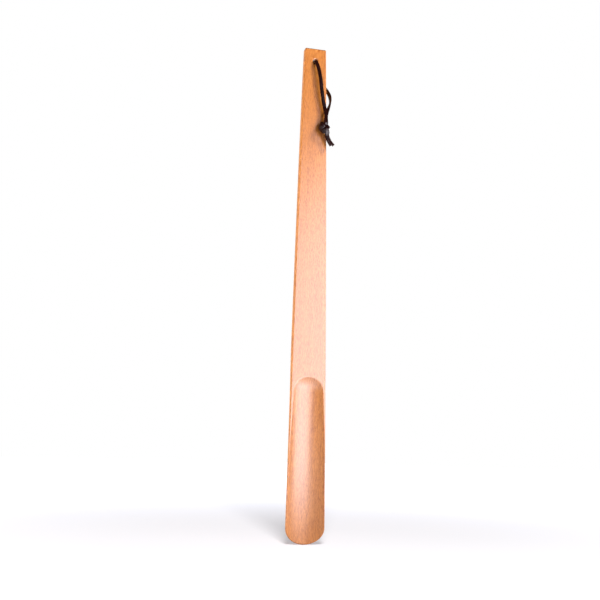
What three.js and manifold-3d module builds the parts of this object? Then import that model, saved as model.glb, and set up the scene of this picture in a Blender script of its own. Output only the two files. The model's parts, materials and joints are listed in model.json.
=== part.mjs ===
// Long wooden shoehorn with a leather hanging cord.
//
// Millimetres. +Z runs up the handle, +X is to the right and -Y is towards whoever looks at the
// scoop. The origin is on the centre line, level with the tip of the blade, in the plane of the
// flat front face.

import * as THREE from "three";
import { mergeVertices } from "three/addons/utils/BufferGeometryUtils.js";
import Module from "manifold-3d";

// ---- Driving dimensions: the beech body ----

const LENGTH = 550;
const THICKNESS = 8.5;
const EDGE_ROUNDING = 0.9;

// half widths of the outline and their heights: the blade just above its round tip, the shank
// and the grip, which steer the long curve of the side, and the top end
const BLADE_HALF_WIDTH = 21.2;
const TIP_HEIGHT = 17.5;
const SHANK_HALF_WIDTH = 18.2;
const SHANK_HEIGHT = 230;
const GRIP_HALF_WIDTH = 15.2;
const GRIP_HEIGHT = 440;
const TOP_HALF_WIDTH = 12.1;

// the scoop is cut by a ball-ended cylinder that goes deeper towards the tip
const SCOOP_RADIUS = 45;
const SCOOP_BALL_HEIGHT = 160.5;
const SCOOP_TOP_DEPTH = 3.1;
const SCOOP_TIP_DEPTH = 6.4;

// behind the scoop the back is rounded to a slightly larger radius, which runs out into the
// flat back of the handle
const BACK_RADIUS = 47;
const BACK_ROUND_FROM = 90;
const BACK_ROUND_TO = 215;
const BACK_RUN_OUT = 4;
const LIP_THINNING = 0.7;
const LIP_THINNING_HEIGHT = 25;

const HOLE_HEIGHT = 535;
const HOLE_RADIUS = 3;
const HOLE_CHAMFER = 0.8;

// ---- Driving dimensions: the leather cord ----

const LACE_WIDTH = 4.2;
const LACE_THICKNESS = 1.8;
const LACE_CORNER = 0.45;
const GAP = 0.3;

// the round ends that turn in the knot are this much fuller than the lace
const ROUND_END_EXTRA = 0.15;

// where the cord bends above the knot: the throat of the loop and the top of the knot
const THROAT = new THREE.Vector3(12.2, -5.3, 473.2);
const KNOT_TOP = new THREE.Vector3(11.2, -5.6, 461.2);
const NECK_WIDTH = 5;
const NECK_THICKNESS = 3.6;
const THROAT_RADIUS = 3;

// the knot: its round body, the lobe at the lower right where the tails come out, and the two
// turns of the lace that cross the front side by side, rising to the right
const KNOT_CENTRE = new THREE.Vector3(9.8, -5.9, 455.2);
const KNOT_HALF_SIZE = new THREE.Vector3(5.8, 4.6, 7.6);
const KNOT_TILT = THREE.MathUtils.degToRad(-24);
const LOBE_CENTRE = new THREE.Vector3(13, -4.9, 450.6);
const LOBE_HALF_SIZE = new THREE.Vector3(3.6, 3.9, 3.9);
const TURN_HALF_SIZE = new THREE.Vector3(5.1, 4.1, 7.6);
const TURN_TUBE = 0.25;
const TURN_SPACING = 4.4;
const TURN_TILT = THREE.MathUtils.degToRad(-40);

// one tail hangs with its face to the front, the other edge on
const FLAT_TAIL = {
  root: new THREE.Vector3(12.6, -6.8, 447.8),
  end: new THREE.Vector3(18.4, -6.6, 434.6),
  alongX: LACE_WIDTH,
  alongY: LACE_THICKNESS,
};
const EDGE_TAIL = {
  root: new THREE.Vector3(15.2, -3.2, 448.2),
  end: new THREE.Vector3(23.2, -3.2, 435.6),
  alongX: LACE_THICKNESS,
  alongY: LACE_WIDTH,
};

// ---- Materials ----

const beech = new THREE.MeshStandardMaterial({ color: 0xe0a06c, roughness: 0.42, metalness: 0 });
const leather = new THREE.MeshStandardMaterial({ color: 0x2b1512, roughness: 0.6, metalness: 0 });

// ---- Solids ----

const wasm = await Module();
wasm.setup();

const QUARTER_TURN = Math.PI / 2;
const DISC_SEGMENTS = 28;

// A closed three.js geometry as a solid that can be joined and cut.
function solid(geometry) {
  const plain = geometry.clone();
  plain.deleteAttribute("normal");
  plain.deleteAttribute("uv");
  const merged = mergeVertices(plain, 1e-4);
  const triangles = [];
  const index = merged.index.array;
  for (let i = 0; i < index.length; i += 3) {
    const [a, b, c] = [index[i], index[i + 1], index[i + 2]];
    if (a !== b && b !== c && c !== a) {
      triangles.push(a, b, c);
    }
  }
  const mesh = new wasm.Mesh({
    numProp: 3,
    vertProperties: new Float32Array(merged.attributes.position.array),
    triVerts: new Uint32Array(triangles),
  });
  mesh.merge();
  return new wasm.Manifold(mesh);
}

// A named three.js mesh of a finished solid.
function piece(name, finished, material) {
  const { vertProperties, triVerts } = finished.getMesh();
  const geometry = new THREE.BufferGeometry();
  geometry.setAttribute("position", new THREE.BufferAttribute(vertProperties, 3));
  geometry.setIndex(new THREE.BufferAttribute(triVerts, 1));
  geometry.computeVertexNormals();
  const mesh = new THREE.Mesh(geometry, material);
  mesh.name = name;
  return mesh;
}

// A solid of revolution about a line along Z. The profile is a list of [radius, height].
function turned(profile, segments) {
  const points = profile.map(([radius, height]) => new THREE.Vector2(radius, height));
  return new THREE.LatheGeometry(points, segments).rotateX(QUARTER_TURN);
}

// A disc centred on a point, with its axis along Y.
function disc(centre, radius, depth) {
  const geometry = new THREE.CylinderGeometry(radius, radius, depth, DISC_SEGMENTS);
  return solid(geometry.translate(centre.x, centre.y, centre.z));
}

// A roller centred on a point, with its axis along X.
function roller(centre, radius, length) {
  const geometry = new THREE.CylinderGeometry(radius, radius, length, DISC_SEGMENTS);
  return solid(geometry.rotateZ(QUARTER_TURN).translate(centre.x, centre.y, centre.z));
}

// ---- The beech body ----

function boardOutline() {
  const tip = new THREE.EllipseCurve(
    0, TIP_HEIGHT, BLADE_HALF_WIDTH, TIP_HEIGHT, Math.PI, 2 * Math.PI,
  );
  const side = new THREE.CubicBezierCurve(
    new THREE.Vector2(BLADE_HALF_WIDTH, TIP_HEIGHT),
    new THREE.Vector2(SHANK_HALF_WIDTH, SHANK_HEIGHT),
    new THREE.Vector2(GRIP_HALF_WIDTH, GRIP_HEIGHT),
    new THREE.Vector2(TOP_HALF_WIDTH, LENGTH),
  );
  const rightSide = side.getPoints(20).slice(1);
  const leftSide = rightSide.map((point) => new THREE.Vector2(-point.x, point.y)).reverse();
  return new THREE.Shape([...tip.getPoints(28), ...rightSide, ...leftSide]);
}

function board() {
  const geometry = new THREE.ExtrudeGeometry(boardOutline(), {
    depth: THICKNESS - 2 * EDGE_ROUNDING,
    bevelThickness: EDGE_ROUNDING,
    bevelSize: EDGE_ROUNDING,
    bevelOffset: -EDGE_ROUNDING,
    bevelSegments: 2,
  });
  geometry.rotateX(QUARTER_TURN).translate(0, THICKNESS - EDGE_ROUNDING, 0);
  return solid(geometry);
}

// Everything in front of the back surface: round behind the blade, clear of the handle.
function backForm() {
  const margin = 10;
  const profile = [[0, -margin], [BACK_RADIUS - LIP_THINNING, -margin]];
  const thinningSteps = 4;
  for (let i = 0; i <= thinningSteps; i++) {
    const along = i / thinningSteps;
    const thinning = LIP_THINNING * (1 - along) ** 2;
    profile.push([BACK_RADIUS - thinning, LIP_THINNING_HEIGHT * along]);
  }
  const runOutSteps = 10;
  for (let i = 0; i <= runOutSteps; i++) {
    const along = i / runOutSteps;
    const height = THREE.MathUtils.lerp(BACK_ROUND_FROM, BACK_ROUND_TO, along);
    profile.push([BACK_RADIUS + BACK_RUN_OUT * along ** 2, height]);
  }
  profile.push([BACK_RADIUS + BACK_RUN_OUT, LENGTH + margin], [0, LENGTH + margin]);
  return solid(turned(profile, 160).translate(0, THICKNESS - BACK_RADIUS, 0));
}

// The ball-ended cylinder that cuts the scoop.
function scoopCutter() {
  const margin = 10;
  const profile = [[0, -SCOOP_BALL_HEIGHT - margin], [SCOOP_RADIUS, -SCOOP_BALL_HEIGHT - margin]];
  const ballSteps = 40;
  for (let i = 0; i <= ballSteps; i++) {
    const angle = (QUARTER_TURN * i) / ballSteps;
    profile.push([SCOOP_RADIUS * Math.cos(angle), SCOOP_RADIUS * Math.sin(angle)]);
  }
  const tilt = Math.atan((SCOOP_TIP_DEPTH - SCOOP_TOP_DEPTH) / SCOOP_BALL_HEIGHT);
  const cutter = turned(profile, 160);
  cutter.rotateX(tilt).translate(0, SCOOP_TOP_DEPTH - SCOOP_RADIUS, SCOOP_BALL_HEIGHT);
  return solid(cutter);
}

// The hanging hole, chamfered at both faces.
function holeCutter() {
  const margin = 1;
  const mouth = HOLE_RADIUS + HOLE_CHAMFER + margin;
  const profile = [
    [0, -margin],
    [mouth, -margin],
    [HOLE_RADIUS, HOLE_CHAMFER],
    [HOLE_RADIUS, THICKNESS - HOLE_CHAMFER],
    [mouth, THICKNESS + margin],
    [0, THICKNESS + margin],
  ];
  const points = profile.map(([radius, depth]) => new THREE.Vector2(radius, depth));
  return solid(new THREE.LatheGeometry(points, 32).translate(0, 0, HOLE_HEIGHT));
}

function beechBody() {
  return board().intersect(backForm()).subtract(scoopCutter()).subtract(holeCutter());
}

// ---- The leather cord ----

// A flat leather strip along a smooth curve through the given points. The section's first size
// is square to the curve in Y where the strip lies on the front face, the second along X.
function strip(points, thickness, width, steps) {
  const [t, w, c] = [thickness / 2, width / 2, LACE_CORNER];
  const corners = [
    [t, c - w], [t, w - c], [t - c, w], [c - t, w], [-t, w - c], [-t, c - w], [c - t, -w], [t - c, -w],
  ];
  const section = new THREE.Shape(corners.map(([x, y]) => new THREE.Vector2(x, y)));
  const extrudePath = new THREE.CatmullRomCurve3(points, false, "centripetal");
  return solid(new THREE.ExtrudeGeometry(section, { steps, extrudePath }));
}

// The loop: up in front of the handle, back through the hole, and round the right edge to the
// throat. The stiff lace stands off the wood between the hole and the knot.
function cordLoop() {
  const path = [
    [11, -4.2, 469], [10.1, -4.4, 478], [8.5, -4.7, 488], [6.7, -4.9, 500], [5, -4.9, 513.5],
    [2.8, -4.5, 524.2], [1.2, -3.6, 530], [0.3, -1.2, 534.3], [0, 2, HOLE_HEIGHT],
    [0, THICKNESS - 2, HOLE_HEIGHT], [0.3, 9.6, 534.4], [1.4, 11, 531], [4, 11.2, 525],
    [8.5, 11, 517], [13, 10.2, 509.8], [17.2, 7.6, 503], [19.2, 4, 496.5], [18.9, 0.8, 490.5],
    [17, -2.2, 485], [14.8, -4.9, 479.5], [13.5, -6.3, 474], [13.3, -6.4, 469],
  ];
  const points = path.map(([x, y, z]) => new THREE.Vector3(x, y, z));
  const lace = strip(points, LACE_THICKNESS, LACE_WIDTH, 120);
  const trimHeight = 20;
  const trim = new THREE.BoxGeometry(2 * trimHeight, trimHeight, trimHeight);
  trim.translate(THROAT.x, THROAT.y, THROAT.z + 1 - trimHeight / 2);
  const socket = disc(THROAT, THROAT_RADIUS + GAP, 3 * NECK_THICKNESS);
  return lace.subtract(solid(trim)).subtract(socket);
}

// The lower end of the neck is a roller in the knot. Its socket is the same with a clearance.
function neckRound(clearance) {
  const extra = ROUND_END_EXTRA + clearance;
  return roller(KNOT_TOP, NECK_THICKNESS / 2 + extra, NECK_WIDTH + 2 * extra);
}

// The two strands between the throat and the knot. The upper end is round about an axis along
// Y, for the sway, and the lower end about an axis along X, for the lift.
function cordNeck() {
  const middle = THROAT.clone().lerp(KNOT_TOP, 0.5);
  return strip([THROAT, middle, KNOT_TOP], NECK_THICKNESS, NECK_WIDTH, 4)
    .add(disc(THROAT, THROAT_RADIUS, NECK_THICKNESS + LACE_CORNER))
    .add(neckRound(0));
}

// A geometry of unit size, stretched, tilted and moved into the knot.
function inKnot(geometry, halfSize, tilt, centre) {
  geometry.scale(halfSize.x, halfSize.y, halfSize.z).rotateY(tilt);
  return solid(geometry.translate(centre.x, centre.y, centre.z));
}

// The notch that lets the neck stand upright or lean forward over the knot.
function neckNotch() {
  const reach = 10;
  const extra = ROUND_END_EXTRA + GAP;
  const notch = new THREE.BoxGeometry(NECK_WIDTH + 2 * extra, reach, reach);
  const back = KNOT_TOP.y + NECK_THICKNESS / 2 + extra;
  const floor = KNOT_TOP.z - NECK_THICKNESS / 4;
  notch.translate(KNOT_TOP.x, back - reach / 2, floor + reach / 2);
  return solid(notch).add(neckRound(GAP));
}

// The upper end of a tail is a disc in the knot, so that the tail can flex there. Its socket is
// the same with a clearance.
function tailRound(tail, clearance) {
  const extra = ROUND_END_EXTRA + clearance;
  return disc(tail.root, tail.alongX / 2 + extra, tail.alongY + 2 * extra);
}

function cordTail(tail) {
  const bow = new THREE.Vector3(0, 0, -0.15 * tail.root.distanceTo(tail.end));
  const middle = tail.root.clone().lerp(tail.end, 0.5).add(bow);
  const lace = strip([tail.root, middle, tail.end], tail.alongY, tail.alongX, 10);
  return lace.add(tailRound(tail, 0));
}

function cordKnot() {
  const body = new THREE.SphereGeometry(1, 28, 18);
  const lobe = new THREE.SphereGeometry(1, 24, 14);
  let knot = inKnot(body, KNOT_HALF_SIZE, KNOT_TILT, KNOT_CENTRE);
  knot = knot.add(inKnot(lobe, LOBE_HALF_SIZE, 0, LOBE_CENTRE));
  for (const side of [-0.5, 0.5]) {
    const offset = (side * TURN_SPACING) / TURN_HALF_SIZE.z;
    const turn = new THREE.TorusGeometry(1, TURN_TUBE, 10, 36).translate(0, 0, offset);
    knot = knot.add(inKnot(turn, TURN_HALF_SIZE, TURN_TILT, KNOT_CENTRE));
  }
  return knot
    .subtract(neckNotch())
    .subtract(tailRound(FLAT_TAIL, GAP))
    .subtract(tailRound(EDGE_TAIL, GAP));
}

// ---- The object ----

const shoehorn = new THREE.Group();
shoehorn.add(
  piece("beech_body", beechBody(), beech),
  piece("cord_loop", cordLoop(), leather),
  piece("cord_neck", cordNeck(), leather),
  piece("cord_knot", cordKnot(), leather),
  piece("cord_tail_flat", cordTail(FLAT_TAIL), leather),
  piece("cord_tail_edge", cordTail(EDGE_TAIL), leather),
);

export default shoehorn;
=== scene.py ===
"""Looks of the long beech shoehorn with its knotted leather hanging cord.

Metres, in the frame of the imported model: +Z runs up the handle, +X is to the right and -Y is
towards whoever looks at the scoop. Small sizes are written in millimetres times MM.
"""
import json
import math

import bpy
from mathutils import Matrix, Vector, noise


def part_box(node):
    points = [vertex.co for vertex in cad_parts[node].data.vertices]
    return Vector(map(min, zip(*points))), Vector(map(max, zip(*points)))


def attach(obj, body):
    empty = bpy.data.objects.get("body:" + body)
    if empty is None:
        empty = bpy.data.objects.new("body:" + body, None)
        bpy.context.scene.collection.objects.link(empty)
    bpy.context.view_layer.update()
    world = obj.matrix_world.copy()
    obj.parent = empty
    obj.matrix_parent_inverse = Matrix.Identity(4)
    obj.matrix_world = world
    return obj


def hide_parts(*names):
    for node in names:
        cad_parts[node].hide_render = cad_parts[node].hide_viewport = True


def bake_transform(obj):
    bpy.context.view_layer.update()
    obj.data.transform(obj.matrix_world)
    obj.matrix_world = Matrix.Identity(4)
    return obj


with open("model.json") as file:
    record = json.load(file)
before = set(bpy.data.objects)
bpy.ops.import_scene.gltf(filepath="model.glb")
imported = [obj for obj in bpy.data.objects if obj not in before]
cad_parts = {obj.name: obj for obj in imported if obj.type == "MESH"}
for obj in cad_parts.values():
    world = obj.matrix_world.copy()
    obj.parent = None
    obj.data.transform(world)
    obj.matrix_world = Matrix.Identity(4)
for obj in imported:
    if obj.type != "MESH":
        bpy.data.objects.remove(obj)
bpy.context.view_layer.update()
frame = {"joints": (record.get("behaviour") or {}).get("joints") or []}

MM = 0.001

# ---- Sizes from the frame ----

BODY_LOW, BODY_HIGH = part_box("beech_body")
BLADE_HALF_WIDTH = (BODY_HIGH.x - BODY_LOW.x) / 2
LENGTH = BODY_HIGH.z - BODY_LOW.z
THICKNESS = BODY_HIGH.y - BODY_LOW.y
HINGES = {joint["name"]: Vector(joint["pos_m"]) for joint in frame["joints"]}
HOLE = Vector((0, THICKNESS / 2, HINGES["loop_swing"].z))
THROAT = HINGES["neck_sway"]
KNOT_TOP = HINGES["knot_lift"]
FLAT_ROOT = HINGES["flat_tail_flex"]
EDGE_ROOT = HINGES["edge_tail_flex"]

# ---- Sizes of the beech body ----

TIP_HEIGHT = 17.5 * MM           # the round tip is the lower half of an ellipse
TIP_ARC = math.radians(50)       # the mesh's lowest row follows the tip this far each way
TOP_HALF_WIDTH = 12.1 * MM
SHANK = (18.2 * MM, 230 * MM)    # half width and height of the two points that steer the
GRIP = (15.2 * MM, 440 * MM)     # sides' slow curve from the blade to the top end
TOP_CORNER = 0.6 * MM            # no smaller than the edge rounding
EDGE_ROUNDING = 0.6 * MM
COLUMNS = 84                     # cells of the mesh across the body

SCOOP_RADIUS = 45 * MM           # of the arc across, and of the ball that ends it above
SCOOP_BALL_HEIGHT = 160.5 * MM   # of the ball's centre
SCOOP_TOP_DEPTH = 3.1 * MM       # on the centre line, at the ball's centre
SCOOP_TIP_DEPTH = 6.4 * MM       # on the centre line, at the tip
SCOOP_EDGE_EASE = 0.15 * MM

BACK_RADIUS = 47 * MM
BACK_ROUND_FROM = 90 * MM        # from this height the round back moves out past the flat one,
BACK_ROUND_TO = 215 * MM         # up to this height,
BACK_RUN_OUT = 4 * MM            # by this much
BACK_EASE = 0.5 * MM
LIP_THINNING = 0.7 * MM          # at the tip
LIP_THINNING_HEIGHT = 25 * MM

HOLE_RADIUS = 3 * MM
HOLE_MOUTH_ROUNDING = 0.8 * MM

# ---- Sizes of the cord ----

LACE_WIDTH = 4.2 * MM
LACE_THICKNESS = 1.8 * MM
LOOP_SPACING = 0.45 * MM         # between the rings of the mesh along the lace
KNOT_SPACING = 0.4 * MM

# ---- Levels of the studio ----

PAPER_GAP = 0.05 * MM            # from the tip down to the paper
PAPER_LIFT = (0.31, 0.85)        # near the object, and far away
PAPER_GLOW = (3.5, 0.0)          # at the foot of the reflection panel, and away from it
PANEL_FOOT = (0.33, -0.62, 0)    # on the paper, below that panel
WORLD_FILL = 0.27
WORLD_FILL_TINT = (1.0, 0.80, 0.52)


# ---- Shared helpers ----

BACKWARDS = (0, 1, 0)
FORWARDS = (0, -1, 0)
UPWARDS = (0, 0, 1)


def at(x, y, z):
    """A point given in millimetres."""
    return Vector((x, y, z)) * MM


def mix(a, b, share):
    return a + (b - a) * share


def smooth_step(low, high, value):
    share = min(1.0, max(0.0, (value - low) / (high - low)))
    return share * share * (3 - 2 * share)


def soft_max(a, b, ease):
    """The larger of two lengths, with the corner where they are equal eased."""
    return (a + b + math.sqrt((a - b) ** 2 + ease ** 2)) / 2


def mesh_object(name, points, faces):
    mesh = bpy.data.meshes.new(name)
    mesh.from_pydata([tuple(point) for point in points], [], faces)
    mesh.validate()
    mesh.shade_smooth()
    mesh.update()
    obj = bpy.data.objects.new(name, mesh)
    bpy.context.scene.collection.objects.link(obj)
    return obj


def join_rings(faces, rings, flip=False):
    """Faces between each ring of point numbers and the next."""
    for near, far in zip(rings, rings[1:]):
        count = len(near)
        for i in range(count):
            j = (i + 1) % count
            quad = [near[i], near[j], far[j], far[i]]
            faces.append(quad[::-1] if flip else quad)


# ---- The beech body ----

def front_depth(x, z):
    """Y of the front surface: flat, with the scoop cut into it."""
    tilt = (SCOOP_TIP_DEPTH - SCOOP_TOP_DEPTH) / SCOOP_BALL_HEIGHT
    above = max(0.0, z - SCOOP_BALL_HEIGHT)
    reach = SCOOP_RADIUS ** 2 - x ** 2 - above ** 2
    axis = SCOOP_TOP_DEPTH - SCOOP_RADIUS + (SCOOP_BALL_HEIGHT - z) * tilt
    return soft_max(0.0, axis + math.sqrt(max(reach, 0.0)), SCOOP_EDGE_EASE)


def back_depth(x, z):
    """Y of the back surface: flat behind the handle, round behind the blade."""
    radius = BACK_RADIUS
    if z < LIP_THINNING_HEIGHT:
        radius -= LIP_THINNING * (1 - z / LIP_THINNING_HEIGHT) ** 2
    if z > BACK_ROUND_FROM:
        along = min(1.0, (z - BACK_ROUND_FROM) / (BACK_ROUND_TO - BACK_ROUND_FROM))
        radius += BACK_RUN_OUT * along ** 2
    round_back = THICKNESS - BACK_RADIUS + math.sqrt(radius ** 2 - x ** 2)
    return -soft_max(-THICKNESS, -round_back, BACK_EASE)


def tip_point(angle):
    """Point of the round tip at an angle from its lowest point."""
    return Vector((BLADE_HALF_WIDTH * math.sin(angle), TIP_HEIGHT * (1 - math.cos(angle))))


def side_point(share):
    """Point of the right side, from the top of the round tip (0) to the top end (1)."""
    steer = [(BLADE_HALF_WIDTH, TIP_HEIGHT), SHANK, GRIP, (TOP_HALF_WIDTH, LENGTH)]
    rest = 1 - share
    weights = [rest ** 3, 3 * share * rest ** 2, 3 * share ** 2 * rest, share ** 3]
    x = sum(weight * point[0] for weight, point in zip(weights, steer))
    z = sum(weight * point[1] for weight, point in zip(weights, steer))
    return Vector((x, z))


def right_side():
    """Points of the right side from the lower end of the tip's side arc up to the top corner."""
    points = []
    arc_steps = 22
    for i in range(arc_steps):
        points.append(tip_point(mix(TIP_ARC, math.pi / 2, i / arc_steps)))
    share = 0.0
    corner_start = LENGTH - TOP_CORNER
    while side_point(share).y < corner_start - 0.2 * MM:
        point = side_point(share)
        points.append(point)
        share = min(1.0, share + row_spacing(point.y) / LENGTH)
    corner_steps = 5
    centre = Vector((TOP_HALF_WIDTH - TOP_CORNER, corner_start))
    for i in range(corner_steps + 1):
        angle = math.pi / 2 * i / corner_steps
        points.append(centre + TOP_CORNER * Vector((math.cos(angle), math.sin(angle))))
    return points


def row_spacing(z):
    """Distance between rows of the mesh: fine on the blade and at the hole."""
    blade, hole, shank, grip = 0.8 * MM, 0.6 * MM, 5 * MM, 3 * MM
    blade_top, shank_start, grip_start = 185 * MM, 240 * MM, 400 * MM
    if z < blade_top:
        return blade
    if abs(z - HOLE.z) < 2 * HOLE_RADIUS:
        return hole
    if z >= grip_start:
        return grip
    return mix(blade, shank, smooth_step(blade_top, shank_start, z))


def board_grid():
    """The outline as a grid of points (x, z): rows from the tip to the top, each left to right."""
    right = right_side()
    sides = [mix(-1, 1, i / COLUMNS) for i in range(COLUMNS + 1)]
    rows = []
    for point in right:
        rows.append([Vector((point.x * side, point.y)) for side in sides])

    # the lowest row bends down to the tip's arc, and the rows above it follow less and less
    arc_reach = 40 * MM
    for i, side in enumerate(sides):
        shift = tip_point(TIP_ARC * side) - rows[0][i]
        for row, point in zip(rows, right):
            fade = max(0.0, 1 - (point.y - right[0].y) / arc_reach) ** 2
            row[i] += shift * fade
    return rows


def perimeter(rows):
    """Indices (row, column) once round the edge of the grid, anticlockwise from the lower left."""
    last_row = len(rows) - 1
    last_column = len(rows[0]) - 1
    loop = [(0, i) for i in range(last_column)]
    loop += [(i, last_column) for i in range(last_row)]
    loop += [(last_row, i) for i in range(last_column, 0, -1)]
    loop += [(i, 0) for i in range(last_row, 0, -1)]
    return loop


def inward_directions(edge):
    """At each point of the outline, the direction square to it, into the board."""
    directions = []
    for i in range(len(edge)):
        along = (edge[(i + 1) % len(edge)] - edge[i - 1]).normalized()
        directions.append(Vector((-along.y, along.x)))
    return directions


def edge_roundings(edge, inward):
    """At each point of the outline, the radius of the rounded edge: smaller on the thin lip."""
    largest_share = 0.42
    roundings = []
    for point, direction in zip(edge, inward):
        inner = point + direction * EDGE_ROUNDING
        height = max(inner.y, 0)
        wall = back_depth(inner.x, height) - front_depth(inner.x, height)
        roundings.append(min(EDGE_ROUNDING, largest_share * wall))
    return roundings


def beech_body():
    rows = board_grid()
    loop = perimeter(rows)
    edge = [rows[r][c].copy() for r, c in loop]
    inward = inward_directions(edge)
    rounding = edge_roundings(edge, inward)

    # pull the grid in by the rounding, so that the rounded edge fits round it
    for i, (r, c) in enumerate(loop):
        rows[r][c] = edge[i] + inward[i] * rounding[i]

    # spread the columns evenly again, all but the lowest rows, which keep the tip's arc
    tip_rows = 4
    for row in rows[tip_rows:-1]:
        for c in range(1, COLUMNS):
            row[c].x = mix(row[0].x, row[COLUMNS].x, c / COLUMNS)

    points = []
    faces = []
    index = {}
    for side, depth in (("front", front_depth), ("back", back_depth)):
        for r, row in enumerate(rows):
            for c, point in enumerate(row):
                index[side, r, c] = len(points)
                points.append(Vector((point.x, depth(point.x, point.y), point.y)))

    # the block of cells round the hole is left open, and filled with rings below
    block = hole_block(rows)
    low, high, left, right = block
    for side in ("front", "back"):
        for r in range(len(rows) - 1):
            for c in range(COLUMNS):
                if low <= r < high and left <= c < right:
                    continue
                quad = [index[side, r, c], index[side, r, c + 1],
                        index[side, r + 1, c + 1], index[side, r + 1, c]]
                faces.append(quad if side == "front" else quad[::-1])
    add_hole(points, faces, index, block)
    add_edge(points, faces, index, loop, edge, inward, rounding)
    return mesh_object("beech_shoehorn", points, faces)


def hole_block(rows):
    """The block of cells round the hole: its first and last row, and its first and last column."""
    half = 5 * MM
    low = min(r for r in range(len(rows)) if rows[r][0].y > HOLE.z - half)
    high = max(r for r in range(len(rows)) if rows[r][0].y < HOLE.z + half)
    middle = rows[(low + high) // 2]
    left = min(c for c in range(COLUMNS) if middle[c].x > -half)
    return low, high, left, COLUMNS - left


def add_hole(points, faces, index, block):
    """Rings from the open block in both faces to the hole's rounded mouths and its wall."""
    low, high, left, right = block
    rim = [(low, c) for c in range(left, right)] + [(r, right) for r in range(low, high)]
    rim += [(high, c) for c in range(right, left, -1)] + [(r, left) for r in range(high, low, -1)]
    rings = [[index["front", r, c] for r, c in rim]]
    angles = []
    for i in rings[0]:
        angles.append(math.atan2(points[i].z - HOLE.z, points[i].x))
    mouth_steps = 6
    profile = [(HOLE_RADIUS + HOLE_MOUTH_ROUNDING, 0.0)]
    for i in range(1, mouth_steps + 1):
        turn = math.pi / 2 * i / mouth_steps
        radius = HOLE_RADIUS + HOLE_MOUTH_ROUNDING * (1 - math.sin(turn))
        profile.append((radius, HOLE_MOUTH_ROUNDING * (1 - math.cos(turn))))
    profile += [(radius, THICKNESS - depth) for radius, depth in reversed(profile)]
    for radius, depth in profile:
        ring = []
        for angle in angles:
            ring.append(len(points))
            points.append(Vector((radius * math.cos(angle), depth, HOLE.z + radius * math.sin(angle))))
        rings.append(ring)
    rings.append([index["back", r, c] for r, c in rim])
    join_rings(faces, rings)


def add_edge(points, faces, index, loop, edge, inward, rounding):
    """The rounded long edges, lip and top end: rings from the front face over to the back face."""
    front = [index["front", r, c] for r, c in loop]
    back = [index["back", r, c] for r, c in loop]
    steps = 6
    turns = [(front, 1, step) for step in range(1, steps + 1)]
    turns += [(back, -1, step) for step in range(steps, 0, -1)]
    rings = [front]
    for face, direction, step in turns:
        turn = math.pi / 2 * step / steps
        ring = []
        for i, number in enumerate(face):
            place = edge[i] + inward[i] * (rounding[i] * (1 - math.sin(turn)))
            y = points[number].y + direction * rounding[i] * (1 - math.cos(turn))
            ring.append(len(points))
            points.append(Vector((place.x, y, place.y)))
        rings.append(ring)
    rings.append(back)
    join_rings(faces, rings, flip=True)


# ---- The leather lace ----

def between(a, b, start, stop, t):
    """The point on the line that is at a when t is start, and at b when t is stop."""
    return a * ((stop - t) / (stop - start)) + b * ((t - start) / (stop - start))


def curve_point(corners, share):
    """Point of a smooth curve through four corners, a share of the way from the second one to the
    third: a centripetal Catmull-Rom curve, which stays smooth through uneven corners."""
    knots = [0.0]
    for a, b in zip(corners, corners[1:]):
        knots.append(knots[-1] + max(math.sqrt((b - a).length), 1e-6))
    p0, p1, p2, p3 = corners
    t0, t1, t2, t3 = knots
    t = mix(t1, t2, share)
    a1 = between(p0, p1, t0, t1, t)
    a2 = between(p1, p2, t1, t2, t)
    a3 = between(p2, p3, t2, t3, t)
    b1 = between(a1, a2, t0, t2, t)
    b2 = between(a2, a3, t1, t3, t)
    return between(b1, b2, t1, t2, t)


def even_samples(dense, spacing):
    """A path of many (point, normal) pairs, again with points an even distance apart."""
    lengths = [0.0]
    for (a, _), (b, _) in zip(dense, dense[1:]):
        lengths.append(lengths[-1] + (b - a).length)
    count = max(2, round(lengths[-1] / spacing))
    samples = []
    j = 0
    for i in range(count + 1):
        wanted = lengths[-1] * i / count
        while j < len(dense) - 2 and lengths[j + 1] < wanted:
            j += 1
        share = (wanted - lengths[j]) / max(lengths[j + 1] - lengths[j], 1e-9)
        near, far = dense[j], dense[j + 1]
        samples.append((near[0].lerp(far[0], share), near[1].lerp(far[1], share)))
    return samples


def smooth_path(stations, spacing):
    """Evenly spaced (point, face normal, direction across the face) along a smooth curve through
    stations of (point, rough face normal)."""
    points = [Vector(point) for point, _ in stations]
    normals = [Vector(normal).normalized() for _, normal in stations]
    points = [2 * points[0] - points[1]] + points + [2 * points[-1] - points[-2]]
    dense = []
    fine = 24
    for i in range(len(normals) - 1):
        for k in range(fine):
            share = k / fine
            dense.append((curve_point(points[i:i + 4], share), normals[i].lerp(normals[i + 1], share)))
    dense.append((points[-2], normals[-1]))
    samples = even_samples(dense, spacing)
    framed = []
    for i, (place, hint) in enumerate(samples):
        before = samples[max(i - 1, 0)][0]
        after = samples[min(i + 1, len(samples) - 1)][0]
        tangent = (after - before).normalized()
        normal = (hint - tangent * hint.dot(tangent)).normalized()
        framed.append((place, normal, tangent.cross(normal)))
    return framed


def path_length(samples):
    return sum((b[0] - a[0]).length for a, b in zip(samples, samples[1:]))


def lace_section(angle, travelled, half_width, half_thickness):
    """Place across and above the strip's middle, at an angle round its cross-section: slightly
    crowned faces, soft cut edges and a little roughness."""
    crowning, edge_thinning, roughness = 0.1, 0.08, 0.035 * MM
    c, s = math.cos(angle), math.sin(angle)
    # powers below 1 turn the circle into a rectangle with rounded corners
    u = math.copysign(abs(c) ** 0.36, c)
    v = math.copysign(abs(s) ** 0.5, s)
    crown = 1 + crowning * (1 - u * u) - edge_thinning * abs(u) ** 6
    across = u * half_width
    above = v * half_thickness * crown
    rough = noise.noise(Vector((travelled / (1.6 * MM), across / (1.2 * MM), above / (1 * MM))))
    return across, above + math.copysign(roughness * rough, v)


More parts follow.
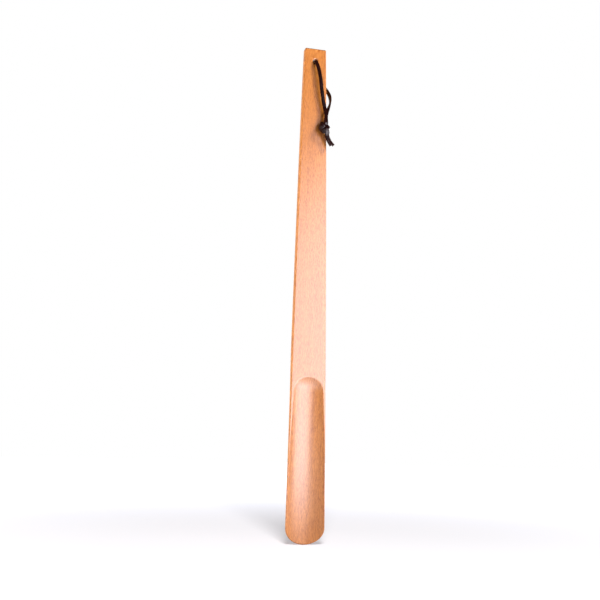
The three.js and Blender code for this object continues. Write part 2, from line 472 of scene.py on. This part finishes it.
def lace(samples, start=0.0, width=LACE_WIDTH, thickness=LACE_THICKNESS):
    """A flat leather strip along the samples, closed at both ends.

    Start is the distance along the whole lace at the first sample: it sets the strip's small
    unevenness, and strips that follow on from each other match there."""
    section_steps = 28
    wander_length, width_wander, thickness_wander = 9 * MM, 0.05, 0.08
    bevel_depth, cut_size = 0.04 * MM, 0.86
    points = []
    faces = []
    places = []
    rings = []
    travelled = start
    last_place = samples[0][0]
    for place, normal, across in samples:
        travelled += (place - last_place).length
        last_place = place
        wander = noise.noise(Vector((travelled / wander_length, 0, 0)))
        half_width = width / 2 * (1 + width_wander * wander)
        half_thickness = thickness / 2 * (1 - thickness_wander * wander)
        ring = []
        for k in range(section_steps):
            angle = 2 * math.pi * k / section_steps
            a, b = lace_section(angle, travelled, half_width, half_thickness)
            ring.append(len(points))
            points.append(place + across * a + normal * b)
            places.append((travelled, a, b))
        rings.append(ring)
    join_rings(faces, rings)

    # the ends: a narrow bevel, and the flat cut
    for ring, end, before, first in ((rings[0], samples[0][0], samples[1][0], True),
                                     (rings[-1], samples[-1][0], samples[-2][0], False)):
        bevel = (end - before).normalized() * bevel_depth
        inner = []
        for i in ring:
            inner.append(len(points))
            points.append(end.lerp(points[i], cut_size) + bevel)
            places.append(places[i])
        join_rings(faces, [ring, inner], flip=first)
        faces.append(inner if first else inner[::-1])
    return points, faces, places


def lace_object(name, strips):
    """One mesh of one or more strips, with each point's place in its strip kept for the leather."""
    points = []
    faces = []
    places = []
    for strip_points, strip_faces, strip_places in strips:
        offset = len(points)
        points += strip_points
        places += strip_places
        faces += [[i + offset for i in face] for face in strip_faces]
    obj = mesh_object(name, points, faces)
    obj.data.set_sharp_from_angle(angle=math.radians(60))
    attribute = obj.data.attributes.new("lace_place", "FLOAT_VECTOR", "POINT")
    attribute.data.foreach_set("vector", [value for place in places for value in place])
    return obj


def lace_path():
    """The lace from inside the knot up the front, through the hole, round the right edge and
    back into the knot, as (point, face normal) stations."""
    hole = HOLE.z / MM
    return [
        (at(11.6, -8.4, 456.5), (0.2, -1, -0.5)),
        (at(11.3, -10.2, 459.6), (0.1, -1, 0.0)),
        (at(11.4, -9.0, 462.8), (0.1, -1, 0.5)),
        (at(11.9, -6.7, 467), (0.1, -1, 0.2)),
        (at(11.7, -5.9, 472), FORWARDS),
        (at(10.6, -4.7, 478.5), FORWARDS),
        (at(8.6, -4.6, 488), FORWARDS),
        (at(6.7, -4.9, 500), FORWARDS),
        (at(5, -4.9, 513.5), FORWARDS),
        (at(3, -4.5, 523.6), FORWARDS),
        (at(1.0, -3.7, 530.4), (0, -1, 0.3)),
        (at(-0.3, -1.4, hole - 0.2), (0, -1, 1.2)),
        (at(-0.5, 2, hole + 0.5), UPWARDS),
        (at(-0.4, 6.5, hole + 0.3), UPWARDS),
        (at(0.3, 9.6, hole - 0.9), (0, 1, 1.2)),
        (at(1.4, 11, 531), (0, 1, 0.3)),
        (at(4, 11.2, 525), BACKWARDS),
        (at(8.5, 11, 517), BACKWARDS),
        (at(13, 10.2, 509.8), (0.1, 1, 0)),
        (at(16.9, 8, 503.5), (0.45, 1, 0)),
        (at(18.6, 5, 497.8), (0.9, 0.75, 0)),
        (at(18.8, 2.2, 492), (1, 0.3, 0)),
        (at(17.6, -0.9, 486), (1, 0.2, 0)),
        (at(15.4, -3.3, 480), (1, 0.6, 0)),
        (at(13.6, -4.1, 474.5), (0.6, 1, 0)),
        (at(12.6, -4.3, 469), (0.1, 1, 0)),
        (at(11.6, -4.6, 463), BACKWARDS),
        (at(11.0, -5.2, 458), BACKWARDS),
    ]


def split_at_height(samples, height):
    """The parts of a path between its crossings of a height; neighbours share a sample."""
    parts = [[samples[0]]]
    for near, far in zip(samples, samples[1:]):
        parts[-1].append(far)
        if (near[0].z - height) * (far[0].z - height) < 0:
            parts.append([far])
    return parts


def cord_lace():
    """The loop with the upper half of the neck, and the lower half of the neck."""
    samples = smooth_path(lace_path(), LOOP_SPACING)
    seam = mix(KNOT_TOP.z, THROAT.z, 0.5)
    front, loop, back = split_at_height(samples, seam)
    loop_start = path_length(front)
    back_start = loop_start + path_length(loop)
    loop_object = lace_object("cord_loop_lace", [lace(loop, loop_start)])
    neck_object = lace_object("cord_neck_lace", [lace(front), lace(back, back_start)])
    return loop_object, neck_object


def knot_turns(centre, axis):
    """Stations of the lace wound twice round the knot's core, side by side across the front. Its
    two ends are tucked in under the turns."""
    rise = Vector((axis.z, 0, -axis.x))
    front = Vector(FORWARDS)
    stations = []
    start, stop, count = -130, 500, 42
    tucked_until, tucked_from = -70, 430
    for i in range(count + 1):
        degrees = mix(start, stop, i / count)
        turn = math.radians(degrees)

        # from the lower turn (0) to the upper (1), and from tucked in (0) to full width (1)
        rising = smooth_step(-60, 420, degrees)
        out = smooth_step(start, tucked_until, degrees) * smooth_step(stop, tucked_from, degrees)
        height = mix(-2.7, 2.4, rising) * MM
        radius_side = mix(2.6, mix(5.2, 4.6, rising), out) * MM
        radius_front = mix(2.2, mix(4.6, 4.0, rising), out) * MM
        outward = rise * math.sin(turn) * radius_front + front * math.cos(turn) * radius_side
        place = centre + axis * height + rise * math.sin(turn) * radius_side
        place += front * math.cos(turn) * radius_front
        stations.append((place, outward))
    return stations


def tail_stations(root, box, middle_normal, end_normal):
    """Stations of a free end, from below its root in the knot to its square-cut end, which lies in
    the lower right corner of its node's box."""
    low, high = box
    end = Vector((high.x - 1.6 * MM, mix(low.y, high.y, 0.5), low.z + 1.2 * MM))
    middle = root.lerp(end, 0.52) + at(-0.7, 0, -0.9)
    return [(middle, middle_normal), (end, end_normal)]


def flat_end_path():
    """The free end that lies flat, from inside the knot down to its cut end."""
    stations = [
        (at(11.2, -7.4, 456), (0, -1, 0.2)),
        (at(12.6, -8.6, 453.2), (0.1, -1, 0)),
        (at(13.0, -8.0, 450.4), (0.1, -1, -0.2)),
        (FLAT_ROOT + at(0.2, -0.1, 0), (0.1, -1, -0.1)),
    ]
    stations += tail_stations(FLAT_ROOT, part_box("cord_tail_flat"), (0.1, -1, 0), (0.15, -1, 0.1))
    return smooth_path(stations, KNOT_SPACING)


def edge_end_path():
    """The free end that stands on its edge, from inside the knot down to its cut end."""
    stations = [
        (at(12.2, -5.6, 457), (1, -0.6, 0)),
        (at(15.0, -5.6, 453.6), (1, -0.5, 0)),
        (at(15.7, -4.4, 450.8), (1, -0.1, 0)),
        (EDGE_ROOT + at(0.2, 0, 0), (1, 0, 0.3)),
    ]
    stations += tail_stations(EDGE_ROOT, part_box("cord_tail_edge"), (1, 0.1, 0.5), (1, 0.15, 0.5))
    return smooth_path(stations, KNOT_SPACING)


def left_lobe_path():
    """The lace round the left side of the knot, from the neck to under the turns."""
    return smooth_path([
        (at(9.6, -6.2, 460.6), (-0.2, -1, 0.6)),
        (at(7.6, -7.2, 460.2), (-0.6, -1, 0.7)),
        (at(5.8, -6.6, 458), (-1, -0.6, 0.3)),
        (at(5.0, -5.2, 455.4), (-1, -0.3, 0)),
        (at(6.6, -4.4, 452.6), (-1, 0, -0.6)),
        (at(9.4, -4.2, 450.8), (-0.3, 0.4, -1)),
    ], KNOT_SPACING)


def cord_knot_and_tails():
    """An overhand knot pulled tight, two turns over a core, and the two free ends that leave it."""
    centre = at(9.9, -5.9, 454.8)
    tilt = math.radians(40)
    axis = Vector((-math.sin(tilt), 0, math.cos(tilt)))
    turns = smooth_path(knot_turns(centre, axis), KNOT_SPACING)
    left = left_lobe_path()
    flat, flat_tail = split_at_height(flat_end_path(), FLAT_ROOT.z)
    edge, edge_tail = split_at_height(edge_end_path(), EDGE_ROOT.z)

    # far apart along the lace, so that no two strips have the same unevenness
    flat_start, edge_start, turns_start = 0.3, 0.35, 0.4
    knot = lace_object("cord_knot_lace", [
        lace(turns, turns_start, width=4.5 * MM, thickness=1.9 * MM),
        lace(flat, flat_start),
        lace(edge, edge_start),
        lace(left, turns_start + path_length(turns), width=3.8 * MM),
        knot_core(centre, axis),
    ])
    flat_end = lace_object("cord_tail_flat_lace", [lace(flat_tail, flat_start + path_length(flat))])
    edge_end = lace_object("cord_tail_edge_lace", [lace(edge_tail, edge_start + path_length(edge))])
    return knot, flat_end, edge_end


def knot_core(centre, axis):
    """The squeezed leather inside the knot, seen only as dark creases between the turns."""
    half_length, core_radius = 5.6 * MM, 3.7 * MM
    steps, around = 16, 28
    points = []
    faces = []
    places = []
    rings = []
    side = axis.orthogonal().normalized()
    other = axis.cross(side)
    for i in range(1, steps):
        polar = math.pi * i / steps
        ring = []
        for k in range(around):
            angle = 2 * math.pi * k / around
            direction = side * math.cos(angle) + other * math.sin(angle)
            bump = 1 + 0.08 * noise.noise(Vector((angle * 2, polar * 2, 3)))
            radius = core_radius * math.sin(polar) * bump
            ring.append(len(points))
            points.append(centre - axis * half_length * math.cos(polar) + direction * radius)
            places.append((polar * 5 * MM, 0.0, 0.8 * MM))
        rings.append(ring)
    join_rings(faces, rings)
    faces.append(rings[0][::-1])
    faces.append(rings[-1])
    return points, faces, places


# ---- Helpers for the materials ----

def node_material(name):
    material = bpy.data.materials.new(name)
    material.use_nodes = True
    nodes = material.node_tree.nodes
    return material, nodes, material.node_tree.links, nodes["Principled BSDF"]


def grey(value):
    return (value, value, value)


def feed(links, socket, value):
    """Gives a socket a number or a colour, or links another node's output to it."""
    if isinstance(value, (int, float)):
        socket.default_value = value
    elif isinstance(value, tuple):
        socket.default_value = (*value, 1)
    else:
        links.new(value, socket)


def colour_ramp(nodes, links, value, stops):
    """Colour for a value from 0 to 1, between two stops of (value, colour)."""
    ramp = nodes.new("ShaderNodeValToRGB")
    for element, (position, colour) in zip(ramp.color_ramp.elements, stops):
        element.position = position
        element.color = (*colour, 1)
    links.new(value, ramp.inputs["Fac"])
    return ramp.outputs["Color"]


def map_range(nodes, links, value, source, target, interpolation="SMOOTHSTEP"):
    """Value taken from the source range to the target range, and held at its ends."""
    node = nodes.new("ShaderNodeMapRange")
    node.interpolation_type = interpolation
    node.inputs["From Min"].default_value, node.inputs["From Max"].default_value = source
    node.inputs["To Min"].default_value, node.inputs["To Max"].default_value = target
    links.new(value, node.inputs["Value"])
    return node.outputs["Result"]


def math_node(nodes, links, operation, *values):
    node = nodes.new("ShaderNodeMath")
    node.operation = operation
    for socket, value in zip(node.inputs, values):
        feed(links, socket, value)
    return node.outputs["Value"]


def mix_value(nodes, links, factor, first, second):
    """Number that goes from first to second as factor goes from 0 to 1."""
    node = nodes.new("ShaderNodeMix")
    for name, value in (("Factor", factor), ("A", first), ("B", second)):
        feed(links, node.inputs[name], value)
    return node.outputs["Result"]


def mix_colour(nodes, links, factor, first, second, blend="MIX"):
    node = nodes.new("ShaderNodeMix")
    node.data_type = "RGBA"
    node.blend_type = blend
    for name, value in (("Factor", factor), ("A", first), ("B", second)):
        feed(links, node.inputs[name], value)
    return node.outputs["Result"]


def distance_from(nodes, links, place, point):
    """The distance of each place from the point."""
    node = nodes.new("ShaderNodeVectorMath")
    node.operation = "DISTANCE"
    links.new(place, node.inputs[0])
    node.inputs[1].default_value = point
    return node.outputs["Value"]


def in_cells(nodes, links, place, size):
    """The place counted in cells of size (x, y, z) metres."""
    mapping = nodes.new("ShaderNodeMapping")
    mapping.inputs["Scale"].default_value = [1 / length for length in size]
    links.new(place, mapping.inputs["Vector"])
    return mapping.outputs["Vector"]


def stretched_noise(nodes, links, place, size, detail, roughness):
    """Noise whose cells measure about size (x, y, z) metres."""
    texture = nodes.new("ShaderNodeTexNoise")
    texture.inputs["Scale"].default_value = 1.0
    texture.inputs["Detail"].default_value = detail
    texture.inputs["Roughness"].default_value = roughness
    links.new(in_cells(nodes, links, place, size), texture.inputs["Vector"])
    return texture.outputs["Fac"]


def bumped_normal(nodes, links, height, strength, distance):
    bump = nodes.new("ShaderNodeBump")
    bump.inputs["Strength"].default_value = strength
    bump.inputs["Distance"].default_value = distance
    links.new(height, bump.inputs["Height"])
    return bump.outputs["Normal"]


# ---- Materials of the object ----

def ray_flecks(nodes, links, place, spacing, fade):
    """Spindles, one in each cell of about the given spacing, 1 inside and 0 outside, in patches."""
    cells = nodes.new("ShaderNodeTexVoronoi")
    cells.inputs["Scale"].default_value = 1.0
    links.new(in_cells(nodes, links, place, spacing), cells.inputs["Vector"])
    inside, outside = fade
    distance = cells.outputs["Distance"]
    shape = colour_ramp(nodes, links, distance, [(inside, grey(1.0)), (outside, grey(0.0))])
    patches = stretched_noise(nodes, links, place, (3 * MM, 3 * MM, 14 * MM), 2.0, 0.5)
    strength = colour_ramp(nodes, links, patches, [(0.3, grey(0.65)), (0.6, grey(1.0))])
    return math_node(nodes, links, "MULTIPLY", shape, strength)


def beech_material():
    """Steamed beech under a clear satin lacquer: dense dark ray flecks and faint growth bands."""
    material, nodes, links, shader = node_material("beech_lacquered")
    place = nodes.new("ShaderNodeTexCoord").outputs["Object"]

    bands = stretched_noise(nodes, links, place, (5 * MM, 9 * MM, 160 * MM), 2.0, 0.5)
    colour = colour_ramp(nodes, links, bands, [(0.3, (0.475, 0.178, 0.036)), (0.7, (0.565, 0.222, 0.048))])

    streaks = stretched_noise(nodes, links, place, (1.0 * MM, 4 * MM, 6.5 * MM), 4.0, 0.62)
    streak_shade = colour_ramp(nodes, links, streaks, [(0.38, (0.74, 0.63, 0.40)), (0.56, grey(1.0))])
    colour = mix_colour(nodes, links, 1.0, colour, streak_shade, "MULTIPLY")

    # ray flecks: the ends of sheets that run deep into the board, short dark spindles in front
    long_flecks = ray_flecks(nodes, links, place, (0.75 * MM, 7 * MM, 5.0 * MM), (0.1, 0.45))
    short_flecks = ray_flecks(nodes, links, place, (0.42 * MM, 5 * MM, 3.2 * MM), (0.1, 0.42))
    flecks = math_node(nodes, links, "MAXIMUM", long_flecks, short_flecks)
    colour = mix_colour(nodes, links, flecks, colour, (0.64, 0.42, 0.18), "MULTIPLY")

    pores = stretched_noise(nodes, links, place, (0.14 * MM, 0.14 * MM, 1.8 * MM), 2.0, 0.5)
    pore_shade = colour_ramp(nodes, links, pores, [(0.35, grey(0.86)), (0.55, grey(1.0))])
    colour = mix_colour(nodes, links, 1.0, colour, pore_shade, "MULTIPLY")
    links.new(colour, shader.inputs["Base Color"])

    # the wood itself is dull, and the lacquer over it shines
    dullness = colour_ramp(nodes, links, streaks, [(0.3, grey(0.4)), (0.7, grey(0.5))])
    links.new(dullness, shader.inputs["Roughness"])
    shader.inputs["Specular IOR Level"].default_value = 0.0
    shader.inputs["Coat Weight"].default_value = 1.0
    shader.inputs["Coat IOR"].default_value = 1.95
    shader.inputs["Coat Roughness"].default_value = 0.29

    relief = math_node(nodes, links, "SUBTRACT", pores, flecks)
    normal = bumped_normal(nodes, links, relief, 0.16, 0.05 * MM)
    links.new(normal, shader.inputs["Normal"])
    links.new(normal, shader.inputs["Coat Normal"])
    return material


def leather_material():
    """Dark brown leather lace: pebbled faces with a soft sheen, and paler fibrous cut edges."""
    material, nodes, links, shader = node_material("leather_dark_brown")
    attribute = nodes.new("ShaderNodeAttribute")
    attribute.attribute_name = "lace_place"
    place = attribute.outputs["Vector"]

    mottle = stretched_noise(nodes, links, place, (6 * MM, 2 * MM, 2 * MM), 4.0, 0.6)
    dark, light = (0.0045, 0.0007, 0.0006), (0.013, 0.0022, 0.0018)
    colour = colour_ramp(nodes, links, mottle, [(0.3, dark), (0.72, light)])

    # the cut edges, where the place across the lace is near half its width
    split = nodes.new("ShaderNodeSeparateXYZ")
    links.new(place, split.inputs["Vector"])
    across = math_node(nodes, links, "ABSOLUTE", split.outputs["Y"])
    edge = map_range(nodes, links, across, (1.85 * MM, 2.1 * MM), (0.0, 1.0), "LINEAR")
    fibres = stretched_noise(nodes, links, place, (1.2 * MM, 0.5 * MM, 0.12 * MM), 3.0, 0.6)
    pale_fibres = math_node(nodes, links, "MULTIPLY", edge, fibres)
    colour = mix_colour(nodes, links, pale_fibres, colour, (0.030, 0.009, 0.006))
    links.new(colour, shader.inputs["Base Color"])

    gloss = colour_ramp(nodes, links, mottle, [(0.3, grey(0.2)), (0.75, grey(0.3))])
    links.new(gloss, shader.inputs["Roughness"])
    shader.inputs["Specular IOR Level"].default_value = 0.34

    pebbles = nodes.new("ShaderNodeTexVoronoi")
    pebbles.feature = "SMOOTH_F1"
    pebbles.inputs["Scale"].default_value = 1 / (0.42 * MM)
    links.new(place, pebbles.inputs["Vector"])
    creases = stretched_noise(nodes, links, place, (0.5 * MM, 2.5 * MM, 1 * MM), 4.0, 0.65)
    relief = math_node(nodes, links, "ADD", pebbles.outputs["Distance"], creases)
    links.new(bumped_normal(nodes, links, relief, 0.3, 0.06 * MM), shader.inputs["Normal"])
    return material


# ---- Studio ----

def paper_material():
    """Matt pale paper. For the camera alone it is lifted towards white, most of all far away,
    so that it looks evenly white without lighting the object. For reflections alone it glows
    where the light panel stands on it."""
    material, nodes, links, shader = node_material("studio_paper")
    place = nodes.new("ShaderNodeTexCoord").outputs["Object"]
    cloud = stretched_noise(nodes, links, place, (0.5, 0.5, 0.5), 2.0, 0.5)
    tone = colour_ramp(nodes, links, cloud, [(0.3, (0.66, 0.65, 0.665)), (0.7, (0.68, 0.67, 0.685))])
    links.new(tone, shader.inputs["Base Color"])
    shader.inputs["Roughness"].default_value = 0.95
    shader.inputs["Specular IOR Level"].default_value = 0.0

    from_object = distance_from(nodes, links, place, (0, 0, 0))
    from_panel = distance_from(nodes, links, place, PANEL_FOOT)
    path = nodes.new("ShaderNodeLightPath")
    lift = map_range(nodes, links, from_object, (0.15, 1.2), PAPER_LIFT)
    lift = math_node(nodes, links, "MULTIPLY", path.outputs["Is Camera Ray"], lift)
    glow = map_range(nodes, links, from_panel, (0.1, 0.6), PAPER_GLOW)
    glow = math_node(nodes, links, "MULTIPLY", path.outputs["Is Glossy Ray"], glow)
    shader.inputs["Emission Color"].default_value = (1.0, 1.08, 1.28, 1)
    links.new(math_node(nodes, links, "ADD", lift, glow), shader.inputs["Emission Strength"])
    return material


def studio_floor():
    """A large round sheet of paper under the object."""
    radii = [0.25, 0.5, 1.0, 2.0, 4.0]
    steps = 96
    height = BODY_LOW.z - PAPER_GAP
    points = [(0, 0, height)]
    for radius in radii:
        for i in range(steps):
            angle = 2 * math.pi * i / steps
            points.append((radius * math.cos(angle), radius * math.sin(angle), height))
    faces = [[0, 1 + i, 1 + (i + 1) % steps] for i in range(steps)]
    for k in range(len(radii) - 1):
        near, far = 1 + k * steps, 1 + (k + 1) * steps
        for i in range(steps):
            j = (i + 1) % steps
            faces.append([near + i, far + i, far + j, near + j])
    floor = mesh_object("studio_floor", points, faces)
    floor.data.materials.append(paper_material())
    return floor


def studio_world():
    """White behind everything for the camera. Reflections see a grey wall at the back and a dark
    room in front, and the light that falls on the object from all round is weak and warm."""
    world = bpy.data.worlds.new("studio")
    world.use_nodes = True
    nodes, links = world.node_tree.nodes, world.node_tree.links
    background = nodes["Background"]
    path = nodes.new("ShaderNodeLightPath")
    tint = mix_colour(nodes, links, path.outputs["Is Diffuse Ray"], grey(1.0), WORLD_FILL_TINT)
    links.new(tint, background.inputs["Color"])
    direction = nodes.new("ShaderNodeSeparateXYZ")
    links.new(nodes.new("ShaderNodeTexCoord").outputs["Generated"], direction.inputs["Vector"])
    reflected = map_range(nodes, links, direction.outputs["Y"], (0.0, 0.6), (0.04, 0.35))
    strength = mix_value(nodes, links, path.outputs["Is Glossy Ray"], WORLD_FILL, reflected)
    strength = mix_value(nodes, links, path.outputs["Is Camera Ray"], strength, 1.0)
    links.new(strength, background.inputs["Strength"])
    bpy.context.scene.world = world


def area_light(name, azimuth, elevation, distance, height, size, power, colour=(1, 1, 1)):
    """A round softbox at an azimuth (to the right of the front) and an elevation, in degrees, at a
    distance from the point of the object's centre line that it faces, at the given height."""
    azimuth = math.radians(azimuth)
    elevation = math.radians(elevation)
    direction = Vector((math.sin(azimuth) * math.cos(elevation),
                        -math.cos(azimuth) * math.cos(elevation),
                        math.sin(elevation)))
    light = bpy.data.lights.new(name, "AREA")
    light.shape = "ELLIPSE"
    light.size, light.size_y = size
    light.energy = power
    light.color = colour
    obj = bpy.data.objects.new(name, light)
    obj.location = Vector((0, 0, height)) + direction * distance
    obj.rotation_euler = (-direction).to_track_quat("-Z", "Y").to_euler()
    obj.visible_camera = False
    bpy.context.scene.collection.objects.link(obj)
    return obj


def link_light(light, receiver, state):
    """Lets a light fall on everything but the receiver, or on nothing but the receiver."""
    receivers = bpy.data.collections.new(light.name + "_receivers")
    receivers.objects.link(receiver)
    receivers.collection_objects[0].light_linking.link_state = state
    light.light_linking.receiver_collection = receivers


def studio_light(floor):
    """A large panel on the right that glows in the lacquer, a small key light above it, fills for
    the left side and the back, and a light from the front for the floor alone."""
    panel = area_light("reflection_panel", azimuth=28, elevation=0, distance=0.7, height=0.267,
                       size=(0.58, 0.85), power=6.5, colour=(1.0, 0.91, 1.0))
    key = area_light("key", azimuth=48, elevation=33, distance=1.2, height=0.45,
                     size=(0.3, 0.3), power=20.5)
    left = area_light("left_fill", azimuth=-101, elevation=3, distance=1.2, height=0.33,
                      size=(0.5, 0.6), power=30)
    back = area_light("back_fill", azimuth=150, elevation=12, distance=1.4, height=0.28,
                      size=(1.4, 1.4), power=18)
    front = area_light("floor_light", azimuth=-10, elevation=38, distance=3.0, height=0,
                       size=(0.8, 0.8), power=112)
    key.visible_glossy = False
    left.visible_glossy = False
    for light in (panel, key, left, back):
        link_light(light, floor, "EXCLUDE")
    link_light(front, floor, "INCLUDE")


def studio_camera():
    """Left of the front and low, looking a little upwards, with the object in the middle."""
    position = Vector((-0.2456, -0.9258, 0.1050))
    aim = Vector((-0.0117, 0.0, 0.2589))
    roll = math.radians(1.36)
    camera = bpy.data.cameras.new("camera")
    camera.lens = 53.4
    camera.sensor_width = 36
    obj = bpy.data.objects.new("camera", camera)
    turn = (aim - position).to_track_quat("-Z", "Y").to_matrix() @ Matrix.Rotation(roll, 3, "Z")
    obj.matrix_world = Matrix.Translation(position) @ turn.to_4x4()
    bpy.context.scene.collection.objects.link(obj)
    bpy.context.scene.camera = obj


# ---- The object ----

beech = beech_material()
leather = leather_material()

body = beech_body()
body.data.materials.append(beech)
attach(body, "shoehorn")
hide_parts("beech_body")

loop_lace, neck_lace = cord_lace()
knot_lace, flat_tail, edge_tail = cord_knot_and_tails()
for piece, node in ((loop_lace, "cord_loop"), (neck_lace, "cord_neck"), (knot_lace, "cord_knot"),
                    (flat_tail, "cord_tail_flat"), (edge_tail, "cord_tail_edge")):
    piece.data.materials.append(leather)
    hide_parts(node)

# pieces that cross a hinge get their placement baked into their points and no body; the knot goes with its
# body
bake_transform(loop_lace)
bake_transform(neck_lace)
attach(knot_lace, "knot")
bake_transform(flat_tail)
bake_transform(edge_tail)

floor = studio_floor()
studio_world()
studio_light(floor)
studio_camera()
bpy.context.scene.view_settings.view_transform = "Standard"

bpy.context.view_layer.update()
